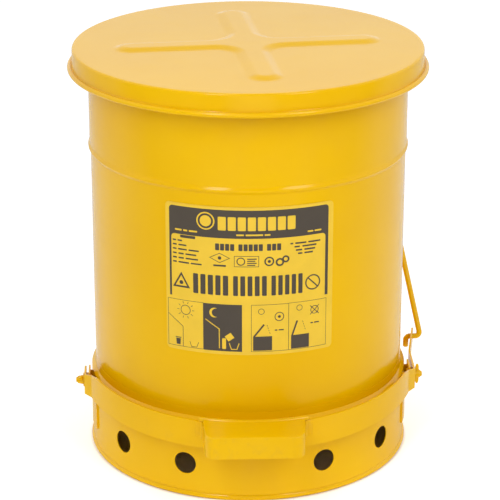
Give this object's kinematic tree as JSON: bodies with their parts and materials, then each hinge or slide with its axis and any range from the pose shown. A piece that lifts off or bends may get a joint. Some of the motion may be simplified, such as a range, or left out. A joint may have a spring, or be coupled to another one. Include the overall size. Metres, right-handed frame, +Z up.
{
  "type": "oily waste can",
  "caption": "Round steel drum on a vented base ring, with an overhanging hinged lid that a front foot pedal lifts through a side rod.",
  "frame": {"origin": "on the drum's axis at floor level", "axes": "+Z up, -Y towards the pedal and label, +X towards the lift rod's side"},
  "size_m": [0.4107, 0.4553, 0.4716],
  "materials": {
    "safety_yellow_paint": "gloss powder coat",
    "zinc_plating": "bright zinc",
    "label_print": "satin vinyl"
  },
  "bodies": {
    "can": {"body_shell": "safety_yellow_paint", "raised_bottom": "safety_yellow_paint", "base_ring": "safety_yellow_paint", "front_label": "label_print", "body_hinge_bracket": "safety_yellow_paint", "body_hinge_rivets": "safety_yellow_paint", "hinge_pin": "zinc_plating", "hinge_pin_caps": "zinc_plating", "left_pivot_bracket": "safety_yellow_paint", "right_pivot_bracket": "safety_yellow_paint", "pivot_bolts": "safety_yellow_paint", "pivot_bushings": "zinc_plating", "pivot_spacers": "safety_yellow_paint", "pivot_washers": "safety_yellow_paint", "left_wing_nut": "safety_yellow_paint", "right_wing_nut": "safety_yellow_paint"},
    "lid": {"lid_cover": "safety_yellow_paint", "lid_hinge_bracket": "safety_yellow_paint", "lid_hinge_rivets": "safety_yellow_paint"},
    "foot_lever": {"foot_strap": "safety_yellow_paint", "foot_pedal": "safety_yellow_paint"},
    "rod": {"lift_rod": "safety_yellow_paint", "rod_washers": "zinc_plating", "rod_push_nut": "zinc_plating"}
  },
  "joints": [
    {"name": "lid_hinge", "type": "hinge", "parent": "can", "child": "lid", "pos_m": [0, 0.212, 0.4406], "axis": [-1, 0, 0], "range_deg": [0, 60]},
    {"name": "lever_pivot", "type": "hinge", "parent": "can", "child": "foot_lever", "pos_m": [0, -0.038, 0.085], "axis": [1, 0, 0], "range_deg": [0, 12.65]},
    {"name": "rod_pivot", "type": "hinge", "parent": "foot_lever", "child": "rod", "pos_m": [0.19828, 0.06028, 0.09001], "axis": [1, 0, 0], "range_deg": [-13.25, 0]}
  ],
  "couplings": [
    {"joint": "lever_pivot", "follows": "lid_hinge", "ratio": 0.2102},
    {"joint": "rod_pivot", "follows": "lid_hinge", "ratio": -0.2199}
  ]
}
